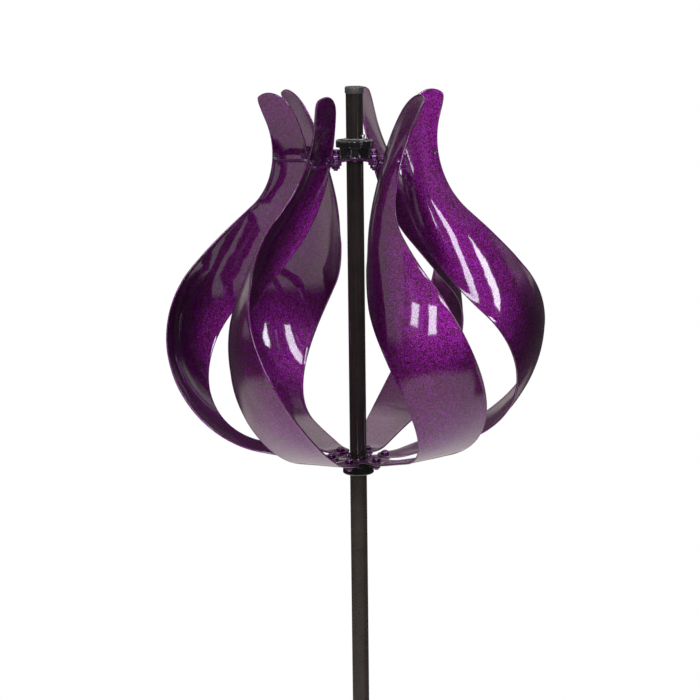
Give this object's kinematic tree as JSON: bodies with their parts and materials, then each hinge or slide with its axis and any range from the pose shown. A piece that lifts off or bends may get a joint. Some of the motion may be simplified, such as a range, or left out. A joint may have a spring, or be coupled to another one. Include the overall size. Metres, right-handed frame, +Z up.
{
  "type": "kinetic wind sculpture",
  "caption": "Garden wind spinner: flame-shaped cupped metal blades between an upper and a lower hub turn freely about an upright pole on a forked ground stake.",
  "frame": {"origin": "on the pole's axis at ground level: the middle of the step bar's underside, where the centre prong enters it", "axes": "+Z up along the pole; +X along the step bar, with blade_1 on the +X side"},
  "size_m": [0.4282, 0.3944, 1.907],
  "materials": {
    "flake_paint": "purple metallic flake under a glossy clear coat",
    "arm_paint": "dark purple gloss paint",
    "bolt_paint": "steel fasteners painted over in dark purple gloss",
    "hub_black": "black gloss powder coat",
    "tube_paint": "brown-black satin powder coat on steel tube",
    "pole_black": "black satin powder coat on steel tube",
    "cap_grey": "dark grey moulded plastic",
    "ring_black": "black satin",
    "bearing_nylon": "natural nylon",
    "zinc_steel": "zinc plated, semi-bright"
  },
  "bodies": {
    "stand": {"shaft": "pole_black", "shaft_cap": "cap_grey", "stop_screw": "zinc_steel", "top_washer": "zinc_steel", "support_ring": "ring_black", "ring_screw": "zinc_steel", "thrust_washer": "bearing_nylon", "upper_tube": "tube_paint", "lower_tube": "tube_paint", "stake_socket": "pole_black", "socket_screw": "zinc_steel", "step_bar": "pole_black", "centre_prong": "pole_black", "outer_prongs": "pole_black", "gussets": "pole_black"},
    "rotor": {"top_hub": "hub_black", "top_bush": "bearing_nylon", "top_tab_plate": "arm_paint", "plate_screws": "bolt_paint", "bottom_hub": "hub_black", "bottom_bush": "bearing_nylon", "bottom_tab_plate": "arm_paint", "arm_bolts": "bolt_paint", "arm_washers": "bolt_paint", "arm_nuts": "bolt_paint", "edge_screws": "bolt_paint", "foot_bolts": "bolt_paint", "foot_washers": "bolt_paint", "foot_nuts": "bolt_paint", "blade_1": "flake_paint", "blade_2": "flake_paint", "blade_3": "flake_paint", "blade_4": "flake_paint", "blade_5": "flake_paint", "blade_6": "flake_paint", "arm_1": "arm_paint", "arm_2": "arm_paint", "arm_3": "arm_paint", "arm_4": "arm_paint", "arm_5": "arm_paint", "arm_6": "arm_paint"}
  },
  "joints": [
    {"name": "rotor_spin", "type": "hinge", "parent": "stand", "child": "rotor", "pos_m": [0, 0, 1.2557], "axis": [0, 0, 1], "continuous": true}
  ]
}
